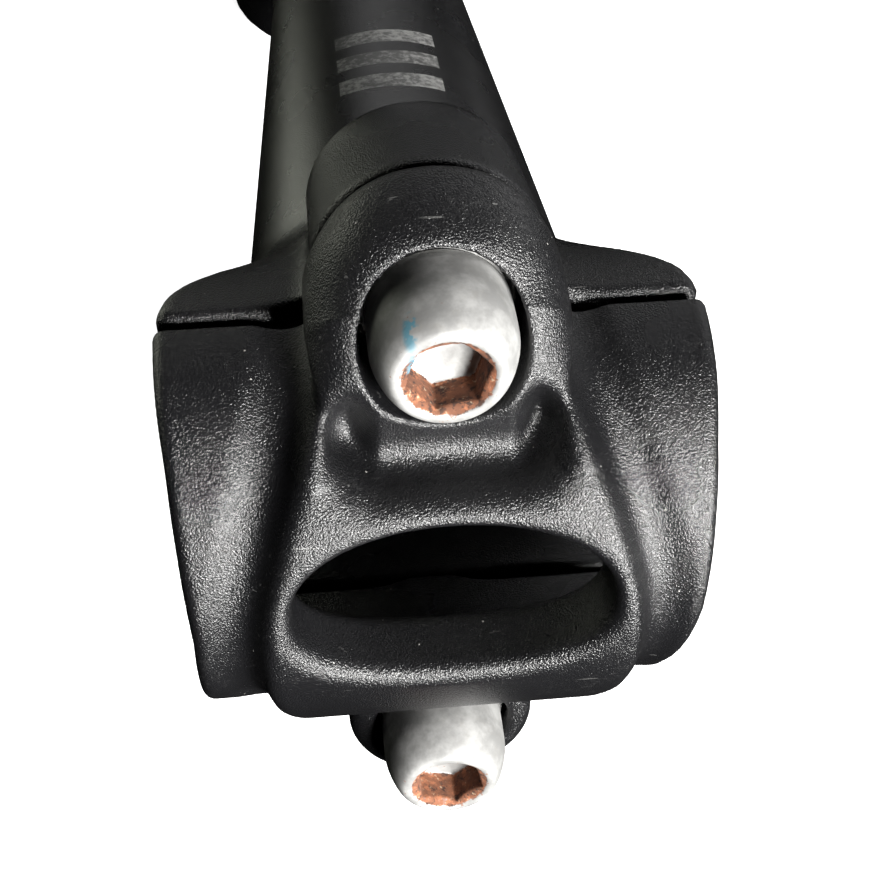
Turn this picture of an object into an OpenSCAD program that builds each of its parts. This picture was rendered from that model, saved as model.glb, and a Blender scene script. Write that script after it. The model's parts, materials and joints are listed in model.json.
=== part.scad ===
// Bicycle handlebar stem for a threadless fork, with a two-bolt faceplate.
// Millimetres. +X runs along the handlebar, the faceplate looks towards -Y and +Z runs up the fork's steerer.
// The origin is the middle of the steerer bore.

/* [Handlebar clamp] */
// Diameter of the handlebar that the clamp holds
bar_d = 25.4; // [25.4:0.1:25.8]
// Width of the clamp along the handlebar
clamp_w = 37.6; // [36:0.2:40]
// Outer radius of the clamp's wings, from the handlebar's axis
wing_r = 16.8; // [16.4:0.1:17.4]
// Outer radius of the raised middle of the faceplate
face_r = 18.8; // [18.4:0.1:19.6]
// Distance between the two faceplate bolts
bolt_span = 40.8; // [40:0.1:41.6]
// Gap between the faceplate and the body at the wings
split_gap = 1.8; // [1.2:0.1:2.2]
// Radius of the ears and bosses around the faceplate bolts
ear_r = 7.9; // [7.6:0.1:8.2]
// How far in front of the handlebar's axis the upper ear's face lies
upper_ear_y = 7.4; // [7:0.1:8.4]
// How far in front of the handlebar's axis the lower ear's face lies
lower_ear_y = 10.2; // [9.8:0.1:11]

/* [Faceplate window] */
// Half of the window's width
window_x = 11; // [9.6:0.1:11.4]
// Height of the window's lower edge above the handlebar's axis
window_low = -2.4; // [-3:0.1:-1.6]
// Height of the window's upper edge above the handlebar's axis
window_high = 9.2; // [8.4:0.1:9.6]

/* [Extension] */
// Distance from the steerer's axis to the handlebar's axis, along the faceplate bolts
reach = 130; // [125:1:140]
// Lean of the faceplate bolts, which rise towards the front, in degrees
rise = 6; // [0:0.5:8]
// Extra slope of the extension against the bolts, in degrees
neck_dip = 3; // [2:0.5:4]
// Height of the extension's axis above the handlebar's axis, at the handlebar
axis_up = 1.7; // [1.4:0.1:2.4]
// Outer radius of the extension at the handlebar
neck_front_r = 15.2; // [14.8:0.1:15.6]
// Outer radius of the extension at the steerer
neck_rear_r = 11.2; // [11:0.1:12.4]
// Radius of the hollow in the extension
hollow_r = 8.5; // [8:0.1:8.8]

/* [Steerer clamp] */
// Diameter of the fork's steerer
steerer_d = 28.6; // [28.6:0.1:28.8]
// Height of the steerer clamp
stack = 40; // [38:0.5:44]
// Outer radius of the steerer clamp
collar_r = 18; // [17.6:0.1:19]
// Width of the slot that the pinch bolts close
slot_w = 2.4; // [2:0.1:3]
// Distance between the two pinch bolts
pinch_span = 22; // [20:0.5:24]

/* [Bolts] */
// Thread diameter of all four bolts
thread_d = 6; // [6:0.1:6.2]
// Head diameter of all four bolts
head_d = 10; // [9.6:0.1:10.2]
// Head length of the faceplate bolts
face_head = 7.5; // [7:0.1:8]
// Shank length of the faceplate bolts
face_shank = 16; // [15:0.5:16.5]
// Head length of the pinch bolts
pinch_head = 6; // [5:0.1:6.4]
// Shank length of the pinch bolts
pinch_shank = 18; // [17:0.5:19]
// Width across the flats of the hexagon sockets
hex_key = 5; // [4.8:0.1:5.2]
// Thickness of the washers under the heads
washer_t = 1; // [0.8:0.1:1.2]

/* [Hidden] */
$fn = 64;

run_fit = 0.06;                  // gap around a turning thread
eps = 0.02;                      // overlap that welds two solids of one piece
far = 60;                        // longer than any cut needs to be
ear_gap = 0.4;                   // gap between the ears and the bosses behind them
edge_r = 1.6;                    // rounding of the clamp's outer edges
bar_r = bar_d / 2;
steerer_r = steerer_d / 2;
shank_r = thread_d / 2;
head_r = head_d / 2;
bolt_z = bolt_span / 2;
pinch_z = pinch_span / 2;
cbore_r = head_r + 0.6;          // counterbore around a faceplate bolt's head
spot_r = head_r + 1.3;           // spot face around a pinch bolt's washer
pass_r = shank_r + 0.3;          // plain hole that a shank passes through
tap_r = shank_r + run_fit;       // threaded hole, drawn smooth
washer_r = head_r + 0.3;
pinch_washer_r = head_r + 1;
upper_seat = 4.4;                // washer seats, in front of the handlebar's axis
lower_seat = 7.7;
boss_len = 13.4;                 // length of the threaded bosses behind the joint
tap_len = 11.6;                  // depth of their threaded holes
boss_dip = 10;                   // how steeply the bosses fall away to the rear, in degrees
pocket_x = 7;                    // half width of the pocket under the upper bolt
pocket_low = 11.2;               // and the height of its lower edge
pocket_deep = 2.4;               // depth below the raised middle
lip_half = 14;                   // half width of the faceplate's middle at the window
leg_half = 10.4;                 // and half way up the legs
neck_cone = 80;                  // length over which the extension tapers
wing_step = 0.8;                 // depth of the body's wings before they sweep in to the extension
pinch_y = 20.6;                  // pinch bolts' axis behind the steerer's
lug_y = 27.4;                    // rear of the two lugs that the pinch bolts join
lug_x = 10.4;                    // half width of the lugs across the slot
pinch_seat_x = 8.2;              // washer seat, from the middle
steerer_up = axis_up - reach * tan(neck_dip);    // the steerer clamp's middle above the handlebar's axis
bar_y = -(reach * cos(rise) + steerer_up * sin(rise));
bar_z = reach * sin(rise) - steerer_up * cos(rise);

// Moves children from the handlebar's frame, which leans with the faceplate bolts, to the part's frame.
module at_bar() {
    translate([0, bar_y, bar_z])
        rotate([-rise, 0, 0])
            children();
}

// A straight cylinder along +X, from the middle outwards both ways.
module x_rod(r, w) {
    rotate([0, 90, 0])
        cylinder(r = r, h = w, center = true, $fn = 128);
}

// A straight cylinder along +Y that starts at y and has length h.
module y_rod(r, y, h, z = 0) {
    translate([0, y, z])
        rotate([-90, 0, 0])
            cylinder(r = r, h = h);
}

// A block centred on x = 0 that spans y0 to y1 and z0 to z1.
module slab(half_x, y0, y1, z0, z1) {
    translate([-half_x, y0, z0])
        cube([2 * half_x, y1 - y0, z1 - z0]);
}

// The clamp's drum with rounded ends, turned around the handlebar's axis.
module drum(r, w) {
    rotate([0, 90, 0])
        rotate_extrude($fn = 128) {
            translate([0, -w / 2 + edge_r])
                square([r, w - 2 * edge_r]);
            translate([0, -w / 2])
                square([r - edge_r, w]);
            for (side = [-1, 1])
                translate([r - edge_r, side * (w / 2 - edge_r)])
                    circle(r = edge_r, $fn = 32);
        }
}

// Front outline of the faceplate's raised middle: two legs that spread from the upper ear to the window's lip.
module middle_outline() {
    polygon([
        [-ear_r + 0.6, bolt_z], [-leg_half, 12], [-12, 9], [-lip_half, 3],
        [-lip_half, -6], [-12, -9.6], [-ear_r, -14], [-ear_r + 0.6, -bolt_z],
        [ear_r - 0.6, -bolt_z], [ear_r, -14], [12, -9.6], [lip_half, -6],
        [lip_half, 3], [12, 9], [leg_half, 12], [ear_r - 0.6, bolt_z]
    ]);
}

// The window: a flat-bottomed oval with round corners below and an arch above.
module window_outline() {
    corner = 4.5;
    mid = window_low + corner;
    translate([-window_x + corner, window_low])
        square([2 * (window_x - corner), corner]);
    for (side = [-1, 1])
        translate([side * (window_x - corner), mid])
            circle(r = corner, $fn = 48);
    intersection() {
        translate([0, mid])
            arch_disc(window_x, window_high - mid);
        translate([-window_x, mid])
            square([2 * window_x, window_high - mid]);
    }
}

// A disc whose chord of half width half_w lies on y = 0 and whose top is h above it.
module arch_disc(half_w, h) {
    r = (half_w * half_w + h * h) / (2 * h);
    translate([0, h - r])
        circle(r = r, $fn = 128);
}

// Extrudes an outline drawn in X and Z through the clamp's front half.
module through_front() {
    rotate([90, 0, 0])
        linear_extrude(height = far / 2)
            children();
}

// Hexagon socket for a key, sunk into a head whose end lies at z = top.
module hex_socket(top, depth) {
    translate([0, 0, top - depth])
        cylinder(r = hex_key / 2 / cos(30), h = depth + eps, $fn = 6);
    translate([0, 0, top - 0.5])
        cylinder(r1 = hex_key / 2 / cos(30) - 0.2, r2 = hex_key / 2 / cos(30) + 0.3, h = 0.5 + eps);
}

// Faceplate bolt: a long head with a rounded shoulder. The seat is z = 0 and the head points to +Z.
module face_bolt() {
    end_r = 3.8;
    difference() {
        rotate_extrude()
            polygon(concat(
                [[0, -face_shank], [shank_r - 0.5, -face_shank], [shank_r, -face_shank + 0.6], [shank_r, 0]],
                [[head_r, 0], [head_r, face_head - 3.1]],
                [for (a = [15:15:75])
                    [end_r + (head_r - end_r) * cos(a), face_head - 3.1 + 3.1 * sin(a)]],
                [[end_r, face_head], [0, face_head]]
            ));
        hex_socket(face_head, 3);
    }
}

// Pinch bolt: a plain socket head. The seat is z = 0 and the head points to +Z.
module pinch_bolt() {
    difference() {
        rotate_extrude()
            polygon([
                [0, -pinch_shank], [shank_r - 0.5, -pinch_shank], [shank_r, -pinch_shank + 0.6],
                [shank_r, 0], [head_r, 0], [head_r, pinch_head - 0.6],
                [head_r - 0.6, pinch_head], [0, pinch_head]
            ]);
        hex_socket(pinch_head, 3.4);
    }
}

// Flat washer that lies below z = 0.
module flat_washer(r) {
    translate([0, 0, -washer_t])
        difference() {
            cylinder(r = r, h = washer_t);
            translate([0, 0, -1])
                cylinder(r = pass_r, h = washer_t + 2);
        }
}

// Puts a bolt or washer on a faceplate bolt's axis, with its underside at y = -front.
module on_face_axis(z, front) {
    at_bar()
        translate([0, -front, z])
            rotate([90, 0, 0])
                children();
}

// Puts a bolt or washer on a pinch bolt's axis. The upper one's head points to +X, the lower one's to -X.
module on_pinch_axis(side) {
    translate([side * (pinch_seat_x + washer_t), pinch_y, side * pinch_z])
        rotate([0, side * 90, 0])
            children();
}

// The rear half of the clamp. Its wings sweep in to the extension.
module clamp_half() {
    intersection() {
        drum(wing_r, clamp_w);
        linear_extrude(height = far, center = true)
            polygon([
                [-clamp_w / 2, 0], [-clamp_w / 2, wing_step], [-16, 6.6], [-14.6, 9.4], [-14.6, far],
                [14.6, far], [14.6, 9.4], [16, 6.6], [clamp_w / 2, wing_step], [clamp_w / 2, 0]
            ]);
    }
    for (side = [-1, 1])
        translate([0, 0, side * bolt_z])
            rotate([-side * boss_dip, 0, 0])
                y_rod(ear_r, -1, boss_len + 1);
}

// Places children that run along +Z on the extension's axis, starting at the handlebar.
module on_neck_axis() {
    translate([0, 0, axis_up])
        rotate([-90 - neck_dip, 0, 0])
            children();
}

// The outside of the extension: a cone that ends in a short straight stretch.
module neck_tube() {
    on_neck_axis() {
        cylinder(r1 = neck_front_r, r2 = neck_rear_r, h = neck_cone, $fn = 96);
        translate([0, 0, neck_cone - eps])
            cylinder(r = neck_rear_r, h = reach - neck_cone, $fn = 96);
    }
}

module collar() {
    cylinder(r = collar_r, h = stack, center = true, $fn = 128);
    translate([-lug_x, 0, -stack / 2])
        cube([2 * lug_x, lug_y, stack]);
}

// Everything that is bored, drilled or milled out of the body.
module body_cuts() {
    at_bar() {
        x_rod(bar_r, far);
        slab(far, -far, 0, -far, far);
        on_neck_axis()
            cylinder(r = hollow_r, h = reach, $fn = 96);
        for (side = [-1, 1])
            y_rod(tap_r, -1, tap_len + 1, side * bolt_z);
    }
    cylinder(r = steerer_r, h = far, center = true, $fn = 128);
    translate([-slot_w / 2, 0, -far / 2])
        cube([slot_w, far, far]);
    for (side = [-1, 1])
        translate([0, pinch_y, side * pinch_z])
            rotate([0, side * 90, 0]) {
                cylinder(r = pass_r, h = far / 2);
                translate([0, 0, -far / 2])
                    cylinder(r = tap_r, h = far / 2 + eps);
                translate([0, 0, pinch_seat_x])
                    cylinder(r = spot_r, h = far / 2);
            }
}

// Forged body: rear half of the handlebar clamp, hollow extension and split steerer clamp.
module stem_body() {
    color([0.06, 0.06, 0.065])
        difference() {
            union() {
                at_bar() {
                    clamp_half();
                    neck_tube();
                }
                collar();
            }
            body_cuts();
        }
}

// Forged faceplate: two wings, an A-shaped middle with a window, and an ear for each bolt.
module faceplate() {
    color([0.09, 0.09, 0.095])
        at_bar()
            difference() {
                union() {
                    faceplate_front();
                    y_rod(ear_r, -upper_ear_y, upper_ear_y - ear_gap, bolt_z);
                    y_rod(ear_r, -lower_ear_y, lower_ear_y - ear_gap, -bolt_z);
                }
                x_rod(bar_r, far);
                through_front()
                    window_outline();
                faceplate_drilling(bolt_z, upper_seat);
                faceplate_drilling(-bolt_z, lower_seat);
                upper_pocket();
            }
}

// The wings and the raised middle, without the ears.
module faceplate_front() {
    difference() {
        union() {
            drum(wing_r, clamp_w);
            intersection() {
                x_rod(face_r, 2 * lip_half);
                through_front()
                    middle_outline();
            }
        }
        slab(far, -split_gap, far, -far, far);
    }
}

// The plain hole and the counterbore of one faceplate bolt.
module faceplate_drilling(z, seat) {
    y_rod(pass_r, -far, far, z);
    y_rod(cbore_r, -far, far - seat, z);
}

// The shallow pocket between the legs, under the upper bolt's head.
module upper_pocket() {
    difference() {
        slab(pocket_x, -far, -1, pocket_low, bolt_z);
        x_rod(face_r - pocket_deep, far);
    }
}

module faceplate_bolt_upper() {
    color([0.7, 0.7, 0.66])
        on_face_axis(bolt_z, upper_seat + washer_t)
            face_bolt();
}

module faceplate_bolt_lower() {
    color([0.7, 0.7, 0.66])
        on_face_axis(-bolt_z, lower_seat + washer_t)
            face_bolt();
}

module faceplate_washer_upper() {
    color([0.6, 0.6, 0.58])
        on_face_axis(bolt_z, upper_seat + washer_t)
            flat_washer(washer_r);
}

module faceplate_washer_lower() {
    color([0.6, 0.6, 0.58])
        on_face_axis(-bolt_z, lower_seat + washer_t)
            flat_washer(washer_r);
}

module pinch_bolt_upper() {
    color([0.7, 0.7, 0.66])
        on_pinch_axis(1)
            pinch_bolt();
}

module pinch_bolt_lower() {
    color([0.7, 0.7, 0.66])
        on_pinch_axis(-1)
            pinch_bolt();
}

module pinch_washer_upper() {
    color([0.6, 0.6, 0.58])
        on_pinch_axis(1)
            flat_washer(pinch_washer_r);
}

module pinch_washer_lower() {
    color([0.6, 0.6, 0.58])
        on_pinch_axis(-1)
            flat_washer(pinch_washer_r);
}

stem_body();
faceplate();
faceplate_bolt_upper();
faceplate_bolt_lower();
faceplate_washer_upper();
faceplate_washer_lower();
pinch_bolt_upper();
pinch_bolt_lower();
pinch_washer_upper();
pinch_washer_lower();
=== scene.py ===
"""A threadless handlebar stem with a two-bolt faceplate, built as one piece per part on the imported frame."""

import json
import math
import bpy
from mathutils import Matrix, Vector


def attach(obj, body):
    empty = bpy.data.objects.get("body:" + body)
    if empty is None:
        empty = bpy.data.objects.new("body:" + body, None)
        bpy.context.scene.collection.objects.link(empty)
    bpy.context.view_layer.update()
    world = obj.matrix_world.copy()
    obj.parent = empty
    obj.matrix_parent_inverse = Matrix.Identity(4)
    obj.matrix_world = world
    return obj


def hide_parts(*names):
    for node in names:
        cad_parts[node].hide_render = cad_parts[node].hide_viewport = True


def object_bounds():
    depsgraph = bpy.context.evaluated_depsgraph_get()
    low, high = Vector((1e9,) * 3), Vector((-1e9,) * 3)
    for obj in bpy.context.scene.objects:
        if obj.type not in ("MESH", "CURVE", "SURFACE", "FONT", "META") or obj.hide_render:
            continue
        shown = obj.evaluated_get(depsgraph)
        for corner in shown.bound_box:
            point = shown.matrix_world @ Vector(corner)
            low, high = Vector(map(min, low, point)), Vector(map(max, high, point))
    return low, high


bl_info = {
    "name": "Handlebar Stem",
    "version": (1, 0, 0),
    "blender": (4, 5, 0),
    "location": "3D View > Sidebar > Stem",
    "description": "Builds the forged body, the faceplate, the bolts, the washers and the studio of a handlebar stem",
    "category": "Object",
}

import bpy
import numpy as np
from bpy.props import FloatProperty, FloatVectorProperty, PointerProperty
from mathutils import Matrix, Vector

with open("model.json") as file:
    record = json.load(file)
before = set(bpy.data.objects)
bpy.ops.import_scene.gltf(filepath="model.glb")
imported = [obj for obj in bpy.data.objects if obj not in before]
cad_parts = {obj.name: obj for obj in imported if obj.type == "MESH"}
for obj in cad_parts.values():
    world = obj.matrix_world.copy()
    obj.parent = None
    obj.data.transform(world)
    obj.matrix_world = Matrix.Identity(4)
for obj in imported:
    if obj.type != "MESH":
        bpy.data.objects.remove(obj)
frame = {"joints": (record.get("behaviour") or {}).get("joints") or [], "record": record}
CAD_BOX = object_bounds()

MM = 0.001

# The clamp's own frame, in millimetres: its origin is the middle of the handlebar, X points to the right, Y runs back
# along the faceplate bolts and Z up. The part's frame is that of the steerer clamp, in metres.
_joint = {j["name"]: j for j in frame["joints"]}
_mount = {m["name"]: m for m in frame["record"]["mounts"]}
LEAN = math.asin(_joint["faceplate_slide"]["axis"][2])
BAR = [c / MM for c in _mount["handlebar_clamp"]["pos_m"]]
REACH = math.hypot(BAR[1], BAR[2]) * math.cos(math.atan2(BAR[2], -BAR[1]) - LEAN)

BAR_R = 12.7                 # bore of the handlebar clamp
STEERER_R = 14.3             # bore of the steerer clamp
BOLT_Z = 20.4                # faceplate bolts, above and below the handlebar
UPPER_SEAT = -4.4            # their washers' seats
LOWER_SEAT = -7.7
WASHER = 1.0
HEAD_R = 5.0
HEAD = 7.5
SHANK_R = 3.0
SHANK = 16.0
PITCH = 1.0
WELL_R = 5.65                # counterbores around the heads of the faceplate bolts
WASHER_HOLE = 3.2
HEAD_GAP = 0.03              # between a washer and the head that rests on it
THREAD_CLEAR = 0.04          # the threads' crests lie this far inside the shank's radius
PINCH_Y = 20.6               # pinch bolts, behind the steerer's axis
PINCH_Z = 11.0
PINCH_SEAT = 8.2
PINCH_HEAD = 6.0
LUG_X = 10.4
LUG_Y = 27.4
STACK = 20.0                 # half the height of the steerer clamp
SLOT = 1.2                   # half the width of its slot
NECK_CONE = 80.0             # length over which the extension narrows
NECK_DIP = 3.0               # degrees by which it falls more steeply than the clamp's own Y axis
HOLLOW_R = 8.5               # its hollow
BOSS_R = 8.4                 # bosses of the faceplate bolts
BOSS_END = 13.5
BOSS_SINK = 13.0             # degrees by which they lean towards the extension
TAP_END = 11.6               # depth of their tapped holes

CAMERA_SPOT = (-7.79, -82.05, 81.74)
CAMERA_PITCH, CAMERA_YAW, CAMERA_ROLL = 0.75961, -0.098990, 0.002675


# --------------------------------------------------------------------------------------------- sizes and colours

class StemSizes(bpy.types.PropertyGroup):
    """Sizes of the faceplate and the forged body."""

    wing_radius: FloatProperty(
        name="Wing radius", description="Outside of the clamp's wings", default=16.8 * MM, unit="LENGTH")
    lip_radius: FloatProperty(
        name="Lip radius", description="Outside of the faceplate's raised middle", default=18.8 * MM, unit="LENGTH")
    ear_radius: FloatProperty(
        name="Ear radius", description="Outside of the faceplate's bolt ears", default=7.9 * MM, unit="LENGTH")
    neck_front: FloatProperty(
        name="Extension radius, front", description="Outside of the extension at the handlebar",
        default=15.2 * MM, unit="LENGTH")
    neck_rear: FloatProperty(
        name="Extension radius, rear", description="Outside of the extension at the steerer",
        default=11.2 * MM, unit="LENGTH")
    collar_radius: FloatProperty(
        name="Steerer clamp radius", description="Outside of the steerer clamp", default=18.0 * MM, unit="LENGTH")


class StemFinish(bpy.types.PropertyGroup):
    """Colours and textures of the stem."""

    coat: FloatVectorProperty(
        name="Powder coat", description="Colour of the powder coat", subtype="COLOR", size=3,
        default=(0.004, 0.004, 0.0045), min=0, max=1)
    coat_roughness: FloatProperty(
        name="Coat roughness", description="Roughness of the powder coat", default=0.28, min=0, max=1)
    pebble: FloatProperty(
        name="Pebble size", description="Size of the powder coat's grain", default=0.17 * MM, unit="LENGTH")
    zinc: FloatVectorProperty(
        name="Zinc", description="Colour of the dull zinc plating", subtype="COLOR", size=3,
        default=(0.47, 0.47, 0.46), min=0, max=1)
    rust: FloatVectorProperty(
        name="Rust", description="Colour of the rust in the sockets", subtype="COLOR", size=3,
        default=(0.2, 0.07, 0.03), min=0, max=1)
    print_colour: FloatVectorProperty(
        name="Stripes", description="Colour of the worn stripes on the extension", subtype="COLOR", size=3,
        default=(0.42, 0.42, 0.41), min=0, max=1)


class StemStage(bpy.types.PropertyGroup):
    """Camera, light and floor."""

    lens: FloatProperty(
        name="Lens", description="Focal length in millimetres on a 36 mm sensor", default=60.59, min=10, max=300)
    sun: FloatProperty(
        name="Window light", description="Power of the large light on the right", default=1.0, min=0, max=10)
    floor: FloatVectorProperty(
        name="Floor", description="Colour of the floor", subtype="COLOR", size=3,
        default=(0.9, 0.9, 0.9), min=0, max=1)


# ------------------------------------------------------------------------------------------------ solid shapes

def out_of_clamp(x, y, z):
    """Part-frame millimetres of a point in the clamp's frame."""
    c, s = math.cos(LEAN), math.sin(LEAN)
    return x + BAR[0], BAR[1] + y * c + z * s, BAR[2] - y * s + z * c


def blend_join(a, b, k):
    """Union of two distance fields with a fillet about k wide."""
    h = np.clip(0.5 + 0.5 * (b - a) / k, 0, 1)
    return b + (a - b) * h - k * h * (1 - h)


def blend_cut(a, b, k):
    """a without b, with an edge rounded over about k."""
    return -blend_join(-a, b, k)


def blend_both(a, b, k):
    """Intersection of two distance fields with an edge rounded over about k."""
    return -blend_join(-a, -b, k)


def round_both(a, b, r):
    """Intersection of two distance fields with an edge of radius r."""
    return np.minimum(np.maximum(a, b), -r) + np.hypot(np.maximum(a + r, 0), np.maximum(b + r, 0))


def cut(a, b, r=0.3):
    """a without b, with an edge of radius r."""
    return round_both(a, -b, r)


def profile(z, table):
    """Half width at z from a table of (z, half width), and the factor that turns an offset in x into a distance."""
    zs, ws = np.array(table, float).T
    z = np.asarray(z, float)
    width = np.interp(z, zs, ws)
    soft = sum(np.interp(z + d, zs, ws) for d in (-0.8, -0.4, 0.4, 0.8))
    width = (width + soft) / 5
    slope = (np.interp(z + 0.6, zs, ws) - np.interp(z - 0.6, zs, ws)) / 1.2
    return width, 1 / np.sqrt(1 + slope * slope)


def oval(x, z, a, b, n):
    """Distance to a superellipse with half widths a and b."""
    u, v = np.abs(x) / a + 1e-6, np.abs(z) / b + 1e-6
    q = (u ** n + v ** n) ** (1 / n)
    pull = q ** (1 - n) * np.hypot(u ** (n - 1) / a, v ** (n - 1) / b)
    return (q - 1) / np.maximum(pull, 1 / max(a, b) / 2)


# Half widths of the faceplate's raised middle, its wings and its pocket, and the Y of its front, each at a height.
MIDDLE = [(-30, 7.7), (-20, 7.7), (-16.5, 8.4), (-13.6, 10.6), (-11, 12.9), (-8, 13.8), (-4, 14.3), (0, 14.3),
          (3.4, 14.0), (6.8, 13.2), (9.9, 12.2), (12.4, 11.2), (14.4, 10.2), (16.4, 9.0), (20, 7.9), (30, 7.6)]
WING = [(-17, 17.6), (-6, 18.05), (-3, 18.2), (2, 18.4), (7.5, 18.7), (12, 19.05), (15, 19.6), (17, 19.85)]
FRONT = [(12, -14.3), (13, -13.5), (14, -12.6), (15, -11.7), (16.1, -10.9), (17.1, -10.3), (18.4, -9.5),
         (20.4, -8.2), (22, -7.4), (24, -6.9), (25.8, -6.5), (27, -5.5), (28, -4.1), (29, -2.2), (30, 0)]
POCKET = [(8, 5.6), (11.3, 6.9), (12, 7.5), (13.4, 7.95), (14, 8.0), (15.3, 7.8), (16.3, 7.4), (18.5, 6.4),
          (30, 5.2)]

# Half widths of the rear clamp half's wings, each at a distance behind the handlebar's axis.
REAR_WING = [(-9, 19.4), (1.0, 19.4), (3.2, 18.8), (5.0, 17.5), (8.2, 14.4), (11, 12.8), (14, 12.0), (60, 12.0)]


def faceplate_field(x, y, z):
    """Distance to the faceplate's surface, in the clamp's frame."""
    s = bpy.context.scene.stem_sizes
    wing_r, lip_r, ear_r = s.wing_radius / MM, s.lip_radius / MM, s.ear_radius / MM
    side = np.abs(x)
    rho = np.hypot(y, z)
    wings = round_both(rho - wing_r, side - profile(z, WING)[0] - 0.08 * np.sign(-x) * np.clip(-z, 0, 20), 1.0)
    width, lean = profile(z, MIDDLE)
    edge = (side - width) * lean
    front = (profile(z, FRONT)[0] - y) * 0.85
    crown = np.where(z > 12.5, np.maximum(front, z - BOLT_Z - 1), 9.0)
    middle = round_both(blend_join(rho - lip_r, crown, 1.2), edge, 2.2)
    ear_top = round_both(np.hypot(x, z - BOLT_Z) - ear_r, np.where(z > 12.5, front, 9.0), 3.2)
    ear_low = round_both(np.hypot(x, z + BOLT_Z) - ear_r + 0.2, -10.2 - y, 1.6)
    shell = blend_join(blend_join(wings, middle, 1.4), ear_top, 4.2)
    valley = np.hypot(edge - 1.2, rho - wing_r - 1.2) - 1.5
    shell = blend_cut(shell, np.where(z > -9, valley, valley + (-9 - z) * 0.5), 1.4)
    shell = round_both(shell, y + 1.3, 0.55)
    ears = np.minimum(round_both(ear_top, y + 0.4, 0.45), round_both(ear_low, y + 0.4, 0.45))
    solid = blend_join(shell, ears, 2.0)
    solid = np.maximum(np.maximum(solid, y + 0.4), BAR_R - rho)
    moat = np.clip((side - 4.3) / 2.6, 0, 1)
    chin = -10.3 - 0.26 * (z - 12.3) + 2.4 * moat * moat * (3 - 2 * moat)
    bend, tilt = profile(z, POCKET)
    pocket = blend_both(blend_both((side - bend) * tilt, 11.3 - z, 2.6), z - 17.6, 2.4)
    pocket = blend_both(pocket, (y - chin) * 0.85, 2.4)
    solid = blend_cut(solid, pocket, 1.8)
    window = oval(x, z - 3.4, 11.2, 5.9, 2.3)
    solid = blend_cut(solid, blend_both(window, y + 2, 0.5), 1.7)
    for height, seat in ((BOLT_Z, UPPER_SEAT), (-BOLT_Z, LOWER_SEAT)):
        off = np.hypot(x, z - height)
        solid = cut(solid, np.maximum(off - WELL_R, y - seat), 0.35)
        solid = cut(solid, off - 3.3, 0.2)
    return solid


def body_field(x, y, z):
    """Distance to the forged body's surface, in the clamp's frame."""
    s = bpy.context.scene.stem_sizes
    wing_r = s.wing_radius / MM
    side = np.abs(x)
    rho = np.hypot(y, z)
    width, lean = profile(y, REAR_WING)
    wings = round_both(rho - wing_r, (side - width - 0.03 * z + 0.3) * lean, 1.2)
    dip = math.tan(math.radians(NECK_DIP))
    axis_z = 1.7 - dip * y
    front, rear = s.neck_front / MM, s.neck_rear / MM
    neck_r = np.maximum(front - (front - rear) / NECK_CONE * y, rear)
    neck = (np.hypot(x, z - axis_z) - neck_r) * 0.998
    neck = np.maximum(np.maximum(neck, y - REACH), -y)
    solid = blend_join(wings, neck, 4.5)
    sink = math.tan(math.radians(BOSS_SINK))
    for sign in (1, -1):
        boss = np.hypot(x, z - sign * (19.9 - sink * np.maximum(y, -2))) - BOSS_R
        boss = round_both(boss * 0.975, y - BOSS_END, 1.1)
        solid = blend_join(solid, boss, 2.2)
    px, py, pz = out_of_clamp(x, y, z)
    ring = np.hypot(px, py) - s.collar_radius / MM
    lugs = round_both(np.abs(px) - LUG_X, np.abs(py - LUG_Y / 2) - LUG_Y / 2, 2.0)
    collar = blend_join(ring, lugs, 2.5)
    collar = round_both(collar, np.abs(pz) - STACK, 0.9)
    solid = blend_join(solid, collar, 3.5)
    solid = np.maximum(solid, np.abs(pz) - STACK - 60 * (py < -25))
    solid = round_both(solid, -y - 0.5 * np.clip((side - 10) / 3, 0, 1), 1.1)
    solid = cut(solid, rho - BAR_R, 0.35)
    hollow = np.hypot(x, z - axis_z) - HOLLOW_R
    solid = cut(solid, np.maximum(hollow, np.maximum(y - REACH + 4, -y)), 0.5)
    solid = cut(solid, np.hypot(px, py) - STEERER_R, 0.4)
    solid = cut(solid, np.maximum(np.abs(px) - SLOT, -py), 0.3)
    for sign in (1, -1):
        off = np.hypot(x, z - sign * BOLT_Z)
        solid = cut(solid, np.maximum(off - SHANK_R - 0.06, y - TAP_END), 0.2)
        off = np.hypot(py - PINCH_Y, pz - sign * PINCH_Z)
        solid = cut(solid, np.maximum(off - 6.4, PINCH_SEAT - sign * px), 0.35)
        solid = cut(solid, off - SHANK_R - 0.08, 0.2)
    return solid


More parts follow.
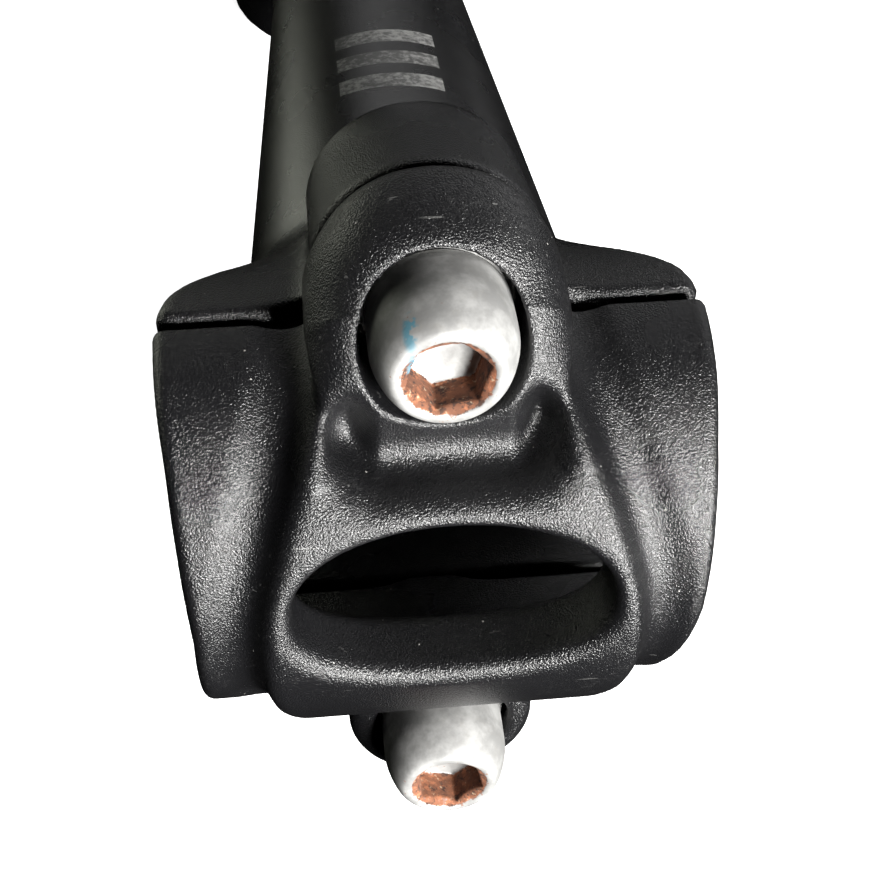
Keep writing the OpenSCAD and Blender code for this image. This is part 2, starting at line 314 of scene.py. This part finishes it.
def skin(field, xs, ys, zs):
    """Vertices and quads of a distance field's zero surface on a grid. Each vertex lies where the planes met by its
    cell's edges meet, so that edges stay crisp."""
    grid = [np.asarray(g, float) for g in (xs, ys, zs)]
    value = np.ascontiguousarray(np.broadcast_to(
        field(grid[0][:, None, None], grid[1][None, :, None], grid[2][None, None, :]),
        [len(g) for g in grid]), dtype=np.float32)
    inside = value < 0
    shape = np.array(value.shape)
    strides = np.array([(shape[1] - 1) * (shape[2] - 1), shape[2] - 1, 1])
    points, quads = [], []
    for axis in range(3):
        low = [slice(1, -1)] * 3
        high = [slice(1, -1)] * 3
        low[axis], high[axis] = slice(0, -1), slice(1, None)
        first, second = inside[tuple(low)], inside[tuple(high)]
        found = np.argwhere(first != second)
        start = [1, 1, 1]
        start[axis] = 0
        found = found + start
        step = np.zeros(3, int)
        step[axis] = 1
        here = tuple(found.T)
        there = tuple((found + step).T)
        v0, v1 = value[here].astype(float), value[there].astype(float)
        share = v0 / (v0 - v1)
        p = np.stack([grid[a][found[:, a]] for a in range(3)], 1)
        length = grid[axis][found[:, axis] + 1] - grid[axis][found[:, axis]]
        base = p[:, axis].copy()
        lo, hi = np.zeros(len(p)), np.ones(len(p))
        for _ in range(3):
            p[:, axis] = base + share * length
            v = field(p[:, 0], p[:, 1], p[:, 2])
            same = (v < 0) == (v0 < 0)
            lo = np.where(same, share, lo)
            hi = np.where(same, hi, share)
            v0, v1 = np.where(same, v, v0), np.where(same, v1, v)
            share = lo + (hi - lo) * np.clip(v0 / (v0 - v1 + 1e-30), 0.02, 0.98)
        p[:, axis] = base + share * length
        points.append(p)
        u, w = (axis + 1) % 3, (axis + 2) % 3
        corners = []
        for du, dw in ((0, 0), (-1, 0), (-1, -1), (0, -1)):
            c = found.copy()
            c[:, u] += du
            c[:, w] += dw
            corners.append(c @ strides)
        quad = np.stack(corners, 1)
        flip = ~first[first != second]
        quad[flip] = quad[flip][:, ::-1]
        quads.append(quad)
    p = np.concatenate(points)
    quad = np.concatenate(quads)
    e = 0.01
    normal = np.stack([
        field(p[:, 0] + e, p[:, 1], p[:, 2]) - field(p[:, 0] - e, p[:, 1], p[:, 2]),
        field(p[:, 0], p[:, 1] + e, p[:, 2]) - field(p[:, 0], p[:, 1] - e, p[:, 2]),
        field(p[:, 0], p[:, 1], p[:, 2] + e) - field(p[:, 0], p[:, 1], p[:, 2] - e)], 1)
    normal /= np.maximum(np.linalg.norm(normal, axis=1, keepdims=True), 1e-9)
    used, slot = np.unique(quad, return_inverse=True)
    slot = slot.reshape(quad.shape)
    cell = slot.ravel()
    edge = np.repeat(np.arange(len(p)), 4)
    n, q = normal[edge], p[edge]
    count = np.bincount(cell, minlength=len(used)).astype(float)
    middle = np.stack([np.bincount(cell, q[:, a], len(used)) for a in range(3)], 1) / count[:, None]
    offset = np.einsum("ij,ij->i", n, q - middle[cell])
    matrix = np.empty((len(used), 3, 3))
    right = np.empty((len(used), 3))
    for a in range(3):
        right[:, a] = np.bincount(cell, n[:, a] * offset, len(used))
        for b in range(3):
            matrix[:, a, b] = np.bincount(cell, n[:, a] * n[:, b], len(used))
    matrix += np.eye(3) * (0.06 * count)[:, None, None]
    vertex = middle + np.linalg.solve(matrix, right[:, :, None])[:, :, 0]
    index = np.stack([used // strides[0], used // strides[1] % (shape[1] - 1), used % (shape[2] - 1)], 1)
    for a in range(3):
        low = grid[a][index[:, a]]
        high = grid[a][index[:, a] + 1]
        vertex[:, a] = np.clip(vertex[:, a], low, high)
    return vertex, slot


def rings(sections, turn):
    """Vertices and faces of a closed solid of revolution about Y. Each section is (y, radii at the angles turn)."""
    count = len(turn)
    vertices, faces = [], []
    for y, radius in sections:
        radius = np.broadcast_to(radius, turn.shape)
        vertices += zip(radius * np.cos(turn), np.broadcast_to(y, turn.shape), radius * np.sin(turn))
    for k in range(len(sections) - 1):
        a, b = k * count, (k + 1) * count
        faces += [(a + i, a + (i + 1) % count, b + (i + 1) % count, b + i) for i in range(count)]
    for k, row in ((0, sections[0]), (len(sections) - 1, sections[-1])):
        centre = len(vertices)
        vertices.append((0.0, float(np.mean(row[0])), 0.0))
        a = k * count
        fan = [(a + (i + 1) % count, a + i, centre) for i in range(count)]
        faces += fan if k == 0 else [f[::-1] for f in fan]
    return vertices, faces


def mesh_object(name, vertices, faces, place, values=None):
    """A smooth mesh object in metres from vertices in millimetres, moved by place."""
    mesh = bpy.data.meshes.new(name)
    vertices = np.asarray(vertices, float) * MM
    if isinstance(faces, np.ndarray):
        mesh.vertices.add(len(vertices))
        mesh.vertices.foreach_set("co", vertices.ravel())
        mesh.loops.add(faces.size)
        mesh.loops.foreach_set("vertex_index", faces.ravel().astype(np.int32))
        mesh.polygons.add(len(faces))
        mesh.polygons.foreach_set("loop_start", np.arange(0, faces.size, 4, dtype=np.int32))
        mesh.update(calc_edges=True)
    else:
        mesh.from_pydata([tuple(v) for v in vertices], [], [tuple(int(i) for i in f) for f in faces])
    mesh.validate()
    mesh.transform(place)
    mesh.shade_smooth()
    for key, value in (values or {}).items():
        attribute = mesh.attributes.new(key, "FLOAT", "POINT")
        attribute.data.foreach_set("value", np.asarray(value, np.float32))
    ob = bpy.data.objects.new(name, mesh)
    bpy.context.scene.collection.objects.link(ob)
    return ob


def clamp_place():
    """The clamp's frame as a matrix in metres."""
    return Matrix.Translation(Vector(BAR) * MM) @ Matrix.Rotation(-LEAN, 4, "X")


def steps(*spans):
    wide = 1.0
    lines = [np.linspace(a, b, int(round((b - a) / (d * wide))) + 1)[:-1] for a, b, d in spans]
    return np.concatenate(lines + [[spans[-1][1]]])


# ------------------------------------------------------------------------------------------------- bolt shapes

TURN = np.linspace(0, 2 * math.pi, 120, endpoint=False)


def hexagon(across):
    """Radii of a hexagon of that width across its flats, at the angles of TURN."""
    return across / 2 / np.cos((TURN + math.pi / 6) % (math.pi / 3) - math.pi / 6)


def socket_sections(across, depth, mouth):
    """Sections of a hexagon socket from its floor to its chamfered mouth, as (depth, radii, wear)."""
    hexa = hexagon(across)
    rows = [(depth + 0.25, 0.5, 0.1), (depth + 0.1, 1.3, 0.1), (depth, hexa * 0.93, 0.2), (depth - 0.12, hexa, 0.8)]
    rows += [(d, hexa, 1.0) for d in np.linspace(depth - 0.5, 0.9, 6)]
    rows += [(d, np.maximum(hexa, mouth - d * 1.3), 0.9 if d > 0.15 else 0.6) for d in (0.7, 0.5, 0.35, 0.2, 0.08)]
    rows.append((0.0, mouth + 0.05, 0.35))
    return rows


def thread_sections(start, end, tip):
    """Sections of an M6 thread from start to end, with a tapered tip, as (depth, radii, wear)."""
    rows = []
    for depth in np.arange(start, end - 0.01, PITCH / 7):
        phase = (depth / PITCH - TURN / (2 * math.pi)) % 1
        groove = np.clip(0.5 - np.abs(phase - 0.5) * 1.35, -0.05, 0.42) + 0.05
        fade = min(1.0, (depth - start) / PITCH) * 0.56 / 0.47
        radius = SHANK_R - THREAD_CLEAR - groove * fade
        radius = np.minimum(radius, SHANK_R - THREAD_CLEAR - max(0.0, depth - (end - tip)))
        rows.append((depth, radius, 0.0))
    rows.append((end, SHANK_R - tip - 0.1, 0.0))
    return rows


def face_bolt_sections():
    """The long domed head, its socket and its threaded shank, from the socket's floor to the tip."""
    rows = socket_sections(5.0, 3.0, 3.2)
    dome = [(0.02, 3.55), (0.08, 3.72), (0.25, 3.9), (0.5, 4.08), (0.8, 4.26), (1.1, 4.4), (1.5, 4.56), (2.0, 4.72),
            (2.5, 4.86), (3.0, 4.95), (3.5, HEAD_R - 0.01), (4.2, HEAD_R), (6.4, HEAD_R), (7.1, HEAD_R - 0.02),
            (7.35, HEAD_R - 0.12), (HEAD, HEAD_R - 0.35)]
    rows += [(d, r, 0.25 if d < 0.3 else 0.0) for d, r in dome]
    rows += [(HEAD + 0.01, SHANK_R + 0.12, 0.0), (HEAD + 0.15, SHANK_R - THREAD_CLEAR, 0.0)]
    return rows + thread_sections(HEAD + 1.6, HEAD + SHANK, 0.7)


def pinch_bolt_sections():
    """The plain socket head of a pinch bolt and its threaded shank."""
    rows = socket_sections(5.0, 3.4, 3.1)
    edge = [(0.0, 3.9), (0.02, 4.2), (0.1, 4.5), (0.3, 4.75), (0.6, 4.92), (0.95, HEAD_R), (5.3, HEAD_R),
            (5.7, HEAD_R - 0.06), (PINCH_HEAD, HEAD_R - 0.35)]
    rows += [(d, r, 0.15 if d < 0.3 else 0.0) for d, r in edge]
    rows += [(PINCH_HEAD + 0.01, SHANK_R + 0.12, 0.0), (PINCH_HEAD + 0.15, SHANK_R - THREAD_CLEAR, 0.0)]
    return rows + thread_sections(PINCH_HEAD + 1, PINCH_HEAD + 18, 0.7)


def bolt_object(name, rows, place):
    """A bolt whose outer end is at the origin of place and whose tip points along +Y."""
    vertices, faces = rings([(d, r) for d, r, _ in rows], TURN)
    wear = [w for _, _, w in rows for _ in TURN] + [rows[0][2], rows[-1][2]]
    return mesh_object(name, vertices, faces, place, {"wear": wear})


def washer_object(name, outer, place):
    """A flat washer with rounded edges, from just under the head at y = 0 to its thickness."""
    r = 0.18
    inner, near, far = WASHER_HOLE, r + HEAD_GAP, WASHER - r
    loop = []
    for cx, cy, a0 in ((outer - r, far, 0), (inner + r, far, 90), (inner + r, near, 180), (outer - r, near, 270)):
        loop += [(cx + r * math.cos(math.radians(a0 + a)), cy + r * math.sin(math.radians(a0 + a)))
                 for a in (0, 30, 60, 90)]
    count, around = len(loop), len(TURN)
    vertices = [(lr * math.cos(t), ly, lr * math.sin(t)) for lr, ly in loop for t in TURN]
    faces = []
    for k in range(count):
        a, b = k * around, (k + 1) % count * around
        faces += [(a + i, a + (i + 1) % around, b + (i + 1) % around, b + i) for i in range(around)]
    return mesh_object(name, vertices, faces, place)


# -------------------------------------------------------------------------------------------------- materials

class Wire:
    """A value in a shader. Sums, products and comparisons of wires add their Math nodes."""

    def __init__(self, graph, socket):
        self.graph, self.socket = graph, socket

    def maths(self, operation, *values):
        return self.graph.node("ShaderNodeMath", {"operation": operation}, dict(enumerate(values)))

    def __add__(self, other):
        return self.maths("ADD", self, other)

    def __radd__(self, other):
        return self.maths("ADD", other, self)

    def __sub__(self, other):
        return self.maths("SUBTRACT", self, other)

    def __rsub__(self, other):
        return self.maths("SUBTRACT", other, self)

    def __mul__(self, other):
        return self.maths("MULTIPLY", self, other)

    def __rmul__(self, other):
        return self.maths("MULTIPLY", other, self)

    def __truediv__(self, other):
        return self.maths("DIVIDE", self, other)

    def __pow__(self, other):
        return self.maths("POWER", self, other)

    def __gt__(self, other):
        return self.maths("GREATER_THAN", self, other)

    def __lt__(self, other):
        return self.maths("LESS_THAN", self, other)

    def __abs__(self):
        return self.maths("ABSOLUTE", self)


class Graph:
    """The nodes of one material."""

    def __init__(self, name):
        self.material = bpy.data.materials.new(name)
        self.material.use_nodes = True
        self.tree = self.material.node_tree
        self.tree.nodes.clear()
        self.coordinates = self.node("ShaderNodeTexCoord", out="Object")

    def node(self, kind, settings=None, sockets=None, out=0):
        """A node with its settings and its sockets' values or links; returns the wire of one output."""
        made = self.tree.nodes.new(kind)
        for key, value in (settings or {}).items():
            setattr(made, key, value)
        for key, value in (sockets or {}).items():
            socket = made.inputs[key]
            if isinstance(value, Wire):
                self.tree.links.new(value.socket, socket)
            else:
                socket.default_value = value
        return Wire(self, made.outputs[out])

    def noise(self, scale, detail=2.0, rough=0.5, vector=None):
        return self.node("ShaderNodeTexNoise", None, {
            "Vector": vector or self.coordinates, "Scale": scale, "Detail": detail, "Roughness": rough}, "Fac")

    def cells(self, scale):
        return self.node("ShaderNodeTexVoronoi", {"feature": "F1"}, {
            "Vector": self.coordinates, "Scale": scale}, "Distance")

    def step(self, value, low, high):
        """0 below low, 1 above high and smooth between them."""
        return self.node("ShaderNodeMapRange", {"interpolation_type": "SMOOTHSTEP"}, {
            "Value": value, "From Min": low, "From Max": high, "To Min": 0.0, "To Max": 1.0})

    def mix(self, share, first, second):
        """A colour between two colours."""
        wide = [(*c, 1.0) if isinstance(c, tuple) and len(c) == 3 else c for c in (first, second)]
        return self.node("ShaderNodeMix", {"data_type": "RGBA"}, {0: share, 6: wide[0], 7: wide[1]}, 2)

    def axis(self, name):
        return self.node("ShaderNodeSeparateXYZ", None, {0: self.coordinates}, name)

    def attribute(self, name):
        return self.node("ShaderNodeAttribute", {"attribute_name": name}, out="Fac")

    def bump(self, height, distance, strength=1.0):
        return self.node("ShaderNodeBump", None, {
            "Height": height, "Distance": distance, "Strength": strength}, "Normal")

    def finish(self, **sockets):
        names = {k.replace("_", " "): v for k, v in sockets.items()}
        shader = self.node("ShaderNodeBsdfPrincipled", None, names)
        output = self.tree.nodes.new("ShaderNodeOutputMaterial")
        self.tree.links.new(shader.socket, output.inputs["Surface"])
        return self.material


def powder_coat(name, smooth_from=None, stripes=False):
    """Satin black powder coat with a pebbled grain, dust and fine scratches. The grain fades behind smooth_from."""
    look = bpy.context.scene.stem_finish
    g = Graph(name)
    grain_scale = 1 / look.pebble
    pebbles = g.cells(grain_scale)
    ripple = g.noise(grain_scale * 1.3, 2.0, 0.6)
    height = (1 - pebbles) * 0.5 + ripple * 1.3
    blotch = g.noise(90.0, 3.0, 0.6)
    specks = (g.cells(700.0) < 0.05) * (g.noise(300.0, 1.0) > 0.56)
    fine = g.noise(2600.0, 2.0, 0.7)
    smear = g.step(fine * 0.6 + blotch * 0.5, 0.62, 0.72) * 0.12
    scratch_path = g.node("ShaderNodeMapping", {"vector_type": "POINT"}, {
        "Vector": g.coordinates, "Rotation": (0.3, 0.7, 0.5), "Scale": (1.0, 9.0, 9.0)})
    scratch = g.step(g.noise(260.0, 1.0, 0.5, scratch_path), 0.735, 0.75) * g.step(blotch, 0.5, 0.6)
    colour = g.mix(specks * 0.75, tuple(look.coat), (0.34, 0.33, 0.31))
    colour = g.mix(smear, colour, (0.06, 0.06, 0.06))
    colour = g.mix(scratch * 0.35, colour, (0.16, 0.16, 0.155))
    rough = look.coat_roughness + blotch * 0.1 + specks * 0.4 - 0.05
    if smooth_from is not None:
        height = height * (1 - g.step(g.axis("Y"), smooth_from, smooth_from + 8 * MM) * 0.72)
    if stripes:
        mark = stripe_mark(g)
        worn = g.step(g.noise(1500.0, 3.0, 0.7) * 0.6 + blotch * 0.5, 0.42, 0.62)
        colour = g.mix(mark * (1 - worn * 0.8), colour, tuple(look.print_colour))
        rough = rough + mark * 0.08
    return g.finish(Base_Color=colour, Roughness=rough, Specular_IOR_Level=0.5,
                    Normal=g.bump(height, 0.07 * MM))


def stripe_mark(g):
    """Three plain stripes across the top of the extension, as a mask."""
    x, y, z = (g.axis(a) for a in "XYZ")
    back = y - BAR[1] * MM
    stripes = [abs(back - centre * MM) < 1.4 * MM for centre in (38.5, 43.5, 48.5)]
    return (stripes[0] + stripes[1] + stripes[2]) * (abs(x) < 4.8 * MM) * (z > (BAR[2] - 6) * MM)


def dull_zinc(name, smudge=False):
    """Dull zinc plating with smudges, and rust in the socket and around its mouth."""
    look = bpy.context.scene.stem_finish
    g = Graph(name)
    wear = g.attribute("wear")
    cloud = g.noise(420.0, 4.0, 0.65)
    fine = g.noise(5200.0, 3.0, 0.7)
    grime = g.step(g.noise(900.0, 4.0, 0.7), 0.52, 0.72)
    patch = g.noise(1100.0, 4.0, 0.68)
    rust = g.step(patch + wear * 0.85, 0.98, 1.16)
    dots = g.step(g.noise(2100.0, 2.0, 0.6) + wear * 0.3, 0.74, 0.8)
    colour = g.mix(g.step(cloud, 0.35, 0.7), tuple(c * 0.38 for c in look.zinc), tuple(c * 0.62 for c in look.zinc))
    colour = g.mix(grime * 0.3, colour, (0.2, 0.19, 0.17))
    dark = g.step(g.noise(1100.0, 4.0, 0.7), 0.4, 0.58)
    rusty = g.mix(dark, tuple(look.rust), tuple(c * 0.14 for c in look.rust))
    rusty = g.mix(g.step(g.noise(2600.0, 2.0, 0.6), 0.58, 0.7) * 0.6, rusty, (0.36, 0.27, 0.18))
    colour = g.mix(rust, colour, rusty)
    colour = g.mix(dots * 0.75, colour, tuple(c * 0.55 for c in look.rust))
    if smudge:
        x, y, z = (g.axis(a) for a in "XYZ")
        spot = g.step((x + 2.4 * MM) ** 2 + (y - (BAR[1] - 9.4) * MM) ** 2 * 0.2, (0.6 * MM) ** 2, (0.25 * MM) ** 2)
        spot = spot * g.step(g.noise(1300.0, 2.0, 0.6), 0.44, 0.54) * (z > (BAR[2] + 22) * MM)
        colour = g.mix(spot * 0.7, colour, (0.02, 0.17, 0.24))
    rough = 0.5 + cloud * 0.16 + rust * 0.3
    return g.finish(Base_Color=colour, Roughness=rough, Metallic=0.35 * (1 - rust) * (1 - dots),
                    Normal=g.bump(fine * 0.5 + cloud + rust * patch * 2.0, 0.03 * MM, 0.6))


def floor_paint(name):
    """Plain pale floor, lit evenly."""
    stage = bpy.context.scene.stem_stage
    g = Graph(name)
    mottle = g.noise(3.0, 1.0)
    colour = g.mix(mottle * 0.02, tuple(stage.floor), (0.86, 0.86, 0.86))
    return g.finish(Base_Color=colour, Roughness=0.9, Emission_Color=(1, 1, 1, 1), Emission_Strength=0.85)


def coat(ob, material, slot, body, *nodes):
    """Paints a piece and ties it to its body and the CAD nodes that it stands for; its slot is not used."""
    ob.data.materials.append(material)
    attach(ob, body)
    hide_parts(*nodes)


# -------------------------------------------------------------------------------------------------- operators

class STEM_OT_body(bpy.types.Operator):
    """Builds the forged body"""

    bl_idname = "stem.body"
    bl_label = "Forged body"

    def execute(self, context):
        vertices, quads = skin(body_field, steps((-20.6, 20.6, 0.53)),
                               steps((-0.8, 18, 0.45), (18, 104, 1.2), (104, 161, 0.66)),
                               steps((-29.4, 29.4, 0.53)))
        ob = mesh_object("forged_body", vertices, quads, clamp_place())
        coat(ob, powder_coat("satin_black_body", (BAR[1] + 10) * MM, True), "body_coat", "body", "stem_body")
        return {"FINISHED"}


class STEM_OT_faceplate(bpy.types.Operator):
    """Builds the faceplate with its window and its two bolt ears"""

    bl_idname = "stem.faceplate"
    bl_label = "Faceplate"

    def execute(self, context):
        vertices, quads = skin(faceplate_field, steps((-20.4, 20.4, 0.29)), steps((-20.2, 0.6, 0.29)),
                               steps((-29.4, 29.4, 0.29)))
        ob = mesh_object("clamp_faceplate", vertices, quads, clamp_place())
        coat(ob, powder_coat("pebbled_black_faceplate"), "faceplate_coat", "cap", "faceplate")
        return {"FINISHED"}


class STEM_OT_face_bolts(bpy.types.Operator):
    """Builds the two faceplate bolts with their washers"""

    bl_idname = "stem.face_bolts"
    bl_label = "Faceplate bolts"

    def execute(self, context):
        for which, height, seat in (("upper", BOLT_Z, UPPER_SEAT), ("lower", -BOLT_Z, LOWER_SEAT)):
            turned = Matrix.Rotation(math.radians(17 if which == "upper" else 48), 4, "Y")
            outer = Matrix.Translation(Vector((0, seat - WASHER - HEAD, height)) * MM)
            bolt = bolt_object(f"{which}_face_bolt", face_bolt_sections(), clamp_place() @ outer @ turned)
            coat(bolt, dull_zinc(f"dull_zinc_{which}", which == "upper"), "zinc_bolt", f"cap_bolt_{which}",
                 f"faceplate_bolt_{which}")
            place = clamp_place() @ Matrix.Translation(Vector((0, seat - WASHER, height)) * MM)
            washer = washer_object(f"{which}_face_washer", 5.3, place)
            coat(washer, dull_zinc(f"washer_zinc_{which}"), "zinc_washer", "cap", f"faceplate_washer_{which}")
        return {"FINISHED"}


class STEM_OT_pinch_bolts(bpy.types.Operator):
    """Builds the two pinch bolts of the steerer clamp with their washers"""

    bl_idname = "stem.pinch_bolts"
    bl_label = "Pinch bolts"

    def execute(self, context):
        for which, sign in (("upper", 1), ("lower", -1)):
            across = Matrix.Rotation(math.radians(90 * sign), 4, "Z")
            top = PINCH_SEAT + WASHER + PINCH_HEAD
            outer = Matrix.Translation(Vector((sign * top, PINCH_Y, sign * PINCH_Z)) * MM)
            bolt = bolt_object(f"{which}_pinch_bolt", pinch_bolt_sections(), outer @ across)
            coat(bolt, dull_zinc(f"pinch_zinc_{which}"), "zinc_bolt", f"pinch_screw_{which}", f"pinch_bolt_{which}")
            inner = Matrix.Translation(Vector((sign * (PINCH_SEAT + WASHER), PINCH_Y, sign * PINCH_Z)) * MM)
            washer = washer_object(f"{which}_pinch_washer", 6.0, inner @ across)
            coat(washer, dull_zinc(f"pinch_washer_zinc_{which}"), "zinc_washer", f"pinch_seat_{which}",
                 f"pinch_washer_{which}")
        return {"FINISHED"}


def area_light(name, position, target, size, power, colour=(1, 1, 1)):
    """A soft rectangular light that faces its target; positions in the clamp's millimetres."""
    data = bpy.data.lights.new(name, "AREA")
    data.shape = "RECTANGLE"
    data.size, data.size_y = size[0] * MM, size[1] * MM
    data.energy, data.color = power, colour
    ob = bpy.data.objects.new(name, data)
    bpy.context.scene.collection.objects.link(ob)
    spot, aim = (clamp_place() @ (Vector(v) * MM) for v in (position, target))
    ob.matrix_world = Matrix.Translation(spot) @ (aim - spot).to_track_quat("-Z", "Y").to_matrix().to_4x4()


class STEM_OT_stage(bpy.types.Operator):
    """Builds the floor, the lights and the camera"""

    bl_idname = "stem.stage"
    bl_label = "Floor, lights and camera"

    def execute(self, context):
        scene = context.scene
        stage = scene.stem_stage
        mesh = bpy.data.meshes.new("pale_floor")
        low = CAD_BOX[0][2] - 0.1 * MM
        side = 1.6
        mesh.from_pydata([(-side, -side, low), (side, -side, low), (side, side, low), (-side, side, low)], [],
                         [(0, 1, 2, 3)])
        floor = bpy.data.objects.new("pale_floor", mesh)
        scene.collection.objects.link(floor)
        mesh.materials.append(floor_paint("pale_floor_paint"))
        floor.visible_diffuse = False
        floor.visible_glossy = False
        world = bpy.data.worlds.new("soft_studio")
        world.use_nodes = True
        background = world.node_tree.nodes["Background"]
        background.inputs["Color"].default_value = (1, 1, 1, 1)
        background.inputs["Strength"].default_value = 0.85
        world.cycles_visibility.diffuse = False
        world.cycles_visibility.glossy = False
        scene.world = world
        area_light("window_front", (165, -365, 86), (0, 0, 0), (125, 95), 8.0 * stage.sun, (1.0, 0.99, 0.97))
        area_light("window_low", (190, -230, -6), (0, -15, 0), (90, 40), 1.8 * stage.sun, (1.0, 0.99, 0.97))
        area_light("wall_back", (60, 400, 230), (0, 20, 0), (320, 160), 0.22)
        area_light("wall_right", (300, 300, 120), (0, 60, 0), (200, 200), 0.25)
        area_light("garden_left", (-310, 330, 70), (0, 60, 0), (260, 200), 0.5, (0.97, 1.0, 0.86))
        data = bpy.data.cameras.new("bench_camera")
        data.lens, data.sensor_width = stage.lens, 36.0
        data.clip_start = 0.005
        camera = bpy.data.objects.new("bench_camera", data)
        scene.collection.objects.link(camera)
        aim = (Matrix.Rotation(CAMERA_YAW, 4, "Z") @ Matrix.Rotation(math.pi / 2 - CAMERA_PITCH, 4, "X")
               @ Matrix.Rotation(CAMERA_ROLL, 4, "Z"))
        camera.matrix_world = clamp_place() @ Matrix.Translation(Vector(CAMERA_SPOT) * MM) @ aim
        scene.camera = camera
        scene.view_settings.view_transform = "Standard"
        return {"FINISHED"}


class STEM_PT_panel(bpy.types.Panel):
    """Lists the stem's pieces with their sizes and finishes"""

    bl_idname = "STEM_PT_panel"
    bl_label = "Handlebar stem"
    bl_space_type = "VIEW_3D"
    bl_region_type = "UI"
    bl_category = "Stem"

    def draw(self, context):
        layout = self.layout
        for group in (context.scene.stem_sizes, context.scene.stem_finish, context.scene.stem_stage):
            box = layout.box()
            for key in group.__annotations__:
                box.prop(group, key)
        for operator in STEPS:
            layout.operator(operator.bl_idname)


STEPS = (STEM_OT_body, STEM_OT_faceplate, STEM_OT_face_bolts, STEM_OT_pinch_bolts, STEM_OT_stage)
GROUPS = (("stem_sizes", StemSizes), ("stem_finish", StemFinish), ("stem_stage", StemStage))


def register():
    """Registers the properties, the operators and the panel."""
    for _, group in GROUPS:
        bpy.utils.register_class(group)
    for operator in (*STEPS, STEM_PT_panel):
        bpy.utils.register_class(operator)
    for name, group in GROUPS:
        setattr(bpy.types.Scene, name, PointerProperty(type=group))


def unregister():
    """Removes what register added."""
    for name, _ in GROUPS:
        delattr(bpy.types.Scene, name)
    for operator in (STEM_PT_panel, *reversed(STEPS)):
        bpy.utils.unregister_class(operator)
    for _, group in reversed(GROUPS):
        bpy.utils.unregister_class(group)


def main():
    """Builds every piece and the stage."""
    register()
    for operator in STEPS:
        group, name = operator.bl_idname.split(".")
        getattr(getattr(bpy.ops, group), name)()


if __name__ == "__main__":
    main()
